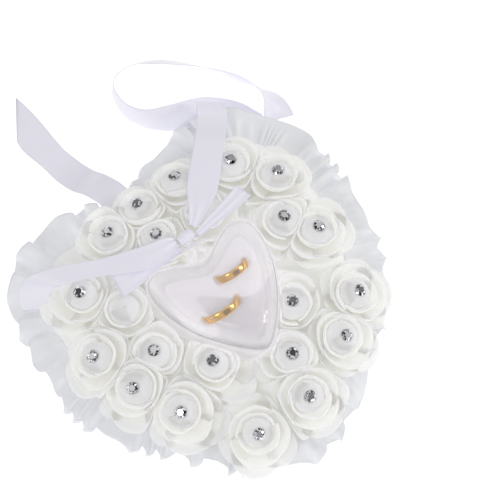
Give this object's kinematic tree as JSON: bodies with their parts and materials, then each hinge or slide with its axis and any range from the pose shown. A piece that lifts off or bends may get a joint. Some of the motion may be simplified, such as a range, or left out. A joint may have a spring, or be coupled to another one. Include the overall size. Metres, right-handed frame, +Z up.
{
  "type": "ring bearer pillow",
  "caption": "Heart-shaped satin ring pillow with a gathered ruffle, foam roses with rhinestones, a clear hinged ring box holding two wedding bands, and a ribbon bow.",
  "frame": {"origin": "on the flat underside of the back cover, on the pillow's middle line, which is the heart's axis of symmetry", "axes": "+Z up out of the roses, +Y from the heart's tip to its cleft, along which the left ribbon tail runs off, +X to the right lobe seen from above"},
  "size_m": [0.1811, 0.2387, 0.056],
  "materials": {
    "back_satin": "smooth lavender-white satin stretched over card",
    "card": "plain grey board",
    "cushion_foam": "soft foam",
    "cover_satin": "white satin",
    "ruffle_satin": "white satin, gathered, cool sheen",
    "clear_plastic": "clear glossy moulded plastic",
    "pin_plastic": "translucent white plastic",
    "pad_satin": "white satin over foam, pinkish-lavender tint",
    "gold": "polished yellow gold",
    "rose_foam": "ivory-white sheet foam petals, matte",
    "rhinestone": "faceted, foil-backed silver",
    "ribbon_satin": "lavender-tinted white satin ribbon, fine cross ribs"
  },
  "bodies": {
    "pillow": {"back_cover": "back_satin", "back_card": "card", "cushion_core": "cushion_foam", "cushion_cover": "cover_satin", "ruffle": "ruffle_satin", "ring_box_base": "clear_plastic", "hinge_pin": "pin_plastic", "ring_pad": "pad_satin", "rose_01": "rose_foam", "rose_02": "rose_foam", "rose_03": "rose_foam", "rose_04": "rose_foam", "rose_05": "rose_foam", "rose_06": "rose_foam", "rose_07": "rose_foam", "rose_08": "rose_foam", "rose_09": "rose_foam", "rose_10": "rose_foam", "rose_11": "rose_foam", "rose_12": "rose_foam", "rose_13": "rose_foam", "rose_14": "rose_foam", "rose_15": "rose_foam", "rose_16": "rose_foam", "rose_17": "rose_foam", "rose_18": "rose_foam", "rose_19": "rose_foam", "rose_20": "rose_foam", "rose_21": "rose_foam", "rose_22": "rose_foam", "rhinestone_01": "rhinestone", "rhinestone_02": "rhinestone", "rhinestone_03": "rhinestone", "rhinestone_04": "rhinestone", "rhinestone_05": "rhinestone", "rhinestone_07": "rhinestone", "rhinestone_09": "rhinestone", "rhinestone_10": "rhinestone", "rhinestone_11": "rhinestone", "rhinestone_12": "rhinestone", "rhinestone_13": "rhinestone", "rhinestone_14": "rhinestone", "rhinestone_15": "rhinestone", "rhinestone_16": "rhinestone", "rhinestone_17": "rhinestone", "rhinestone_18": "rhinestone", "rhinestone_19": "rhinestone", "rhinestone_20": "rhinestone", "rhinestone_21": "rhinestone", "rhinestone_22": "rhinestone", "bow_knot": "ribbon_satin", "bow_loop_left": "ribbon_satin", "bow_loop_right": "ribbon_satin", "bow_end_left": "ribbon_satin", "bow_end_right": "ribbon_satin", "ribbon_tail_left": "ribbon_satin", "ribbon_tail_right": "ribbon_satin"},
    "lid": {"ring_box_lid": "clear_plastic"},
    "large_band": {"ring_large": "gold"},
    "small_band": {"ring_small": "gold"}
  },
  "joints": [
    {"name": "lid_hinge", "type": "hinge", "parent": "pillow", "child": "lid", "pos_m": [0, 0.0246, 0.04], "axis": [-1, 0, 0], "range_deg": [0, 100]},
    {"name": "large_band_lift", "type": "slide", "parent": "pillow", "child": "large_band", "axis": [0, -0.5299, 0.848], "range_m": [0, 0.004]},
    {"name": "small_band_lift", "type": "slide", "parent": "pillow", "child": "small_band", "axis": [0, -0.5299, 0.848], "range_m": [0, 0.004]}
  ]
}
